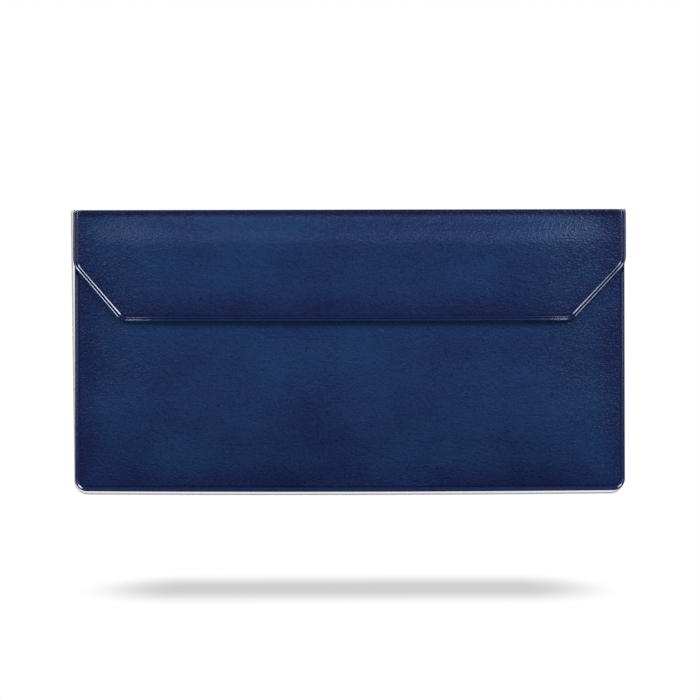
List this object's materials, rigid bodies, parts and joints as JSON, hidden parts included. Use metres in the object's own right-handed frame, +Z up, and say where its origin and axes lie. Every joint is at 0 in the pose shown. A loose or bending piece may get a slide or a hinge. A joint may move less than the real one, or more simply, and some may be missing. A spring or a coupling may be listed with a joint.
{
  "type": "cash deposit bag",
  "caption": "Flat vinyl wallet with a welded pocket, a clear rear pocket and a fold-over flap, for carrying cheques, notes and paying-in slips.",
  "frame": {"origin": "on the surface that the upright wallet stands on, under the middle of its box", "axes": "+X to the right as seen from the front, +Y towards the back (the front and the flap face -Y), +Z up towards the fold"},
  "size_m": [0.2367, 0.0092, 0.1218],
  "materials": {
    "leathergrain_vinyl": "navy vinyl, embossed with a fine leather grain, satin",
    "lining_vinyl": "smooth navy vinyl film, matte",
    "welded_vinyl": "navy vinyl melted smooth by the welding bar, glossy",
    "clear_film": "clear soft vinyl film, slightly milky at its cut edge",
    "hook_tape": "woven tape with small moulded hooks",
    "loop_tape": "brushed loop pile"
  },
  "bodies": {
    "pocket": {"back_panel": "leathergrain_vinyl", "back_lining": "lining_vinyl", "front_panel": "leathergrain_vinyl", "front_lining": "lining_vinyl", "mouth_hem": "welded_vinyl", "edge_weld": "welded_vinyl", "rear_film": "clear_film", "flap_fold": "leathergrain_vinyl", "loop_pad": "loop_tape"},
    "flap": {"flap_panel": "leathergrain_vinyl", "flap_lining": "lining_vinyl", "flap_rim": "welded_vinyl", "hook_pad": "hook_tape"}
  },
  "joints": [
    {"name": "flap_hinge", "type": "hinge", "parent": "pocket", "child": "flap", "pos_m": [0, 0.00298, 0.1206], "axis": [-1, 0, 0], "range_deg": [0, 175], "deforming": ["flap_fold"]}
  ]
}
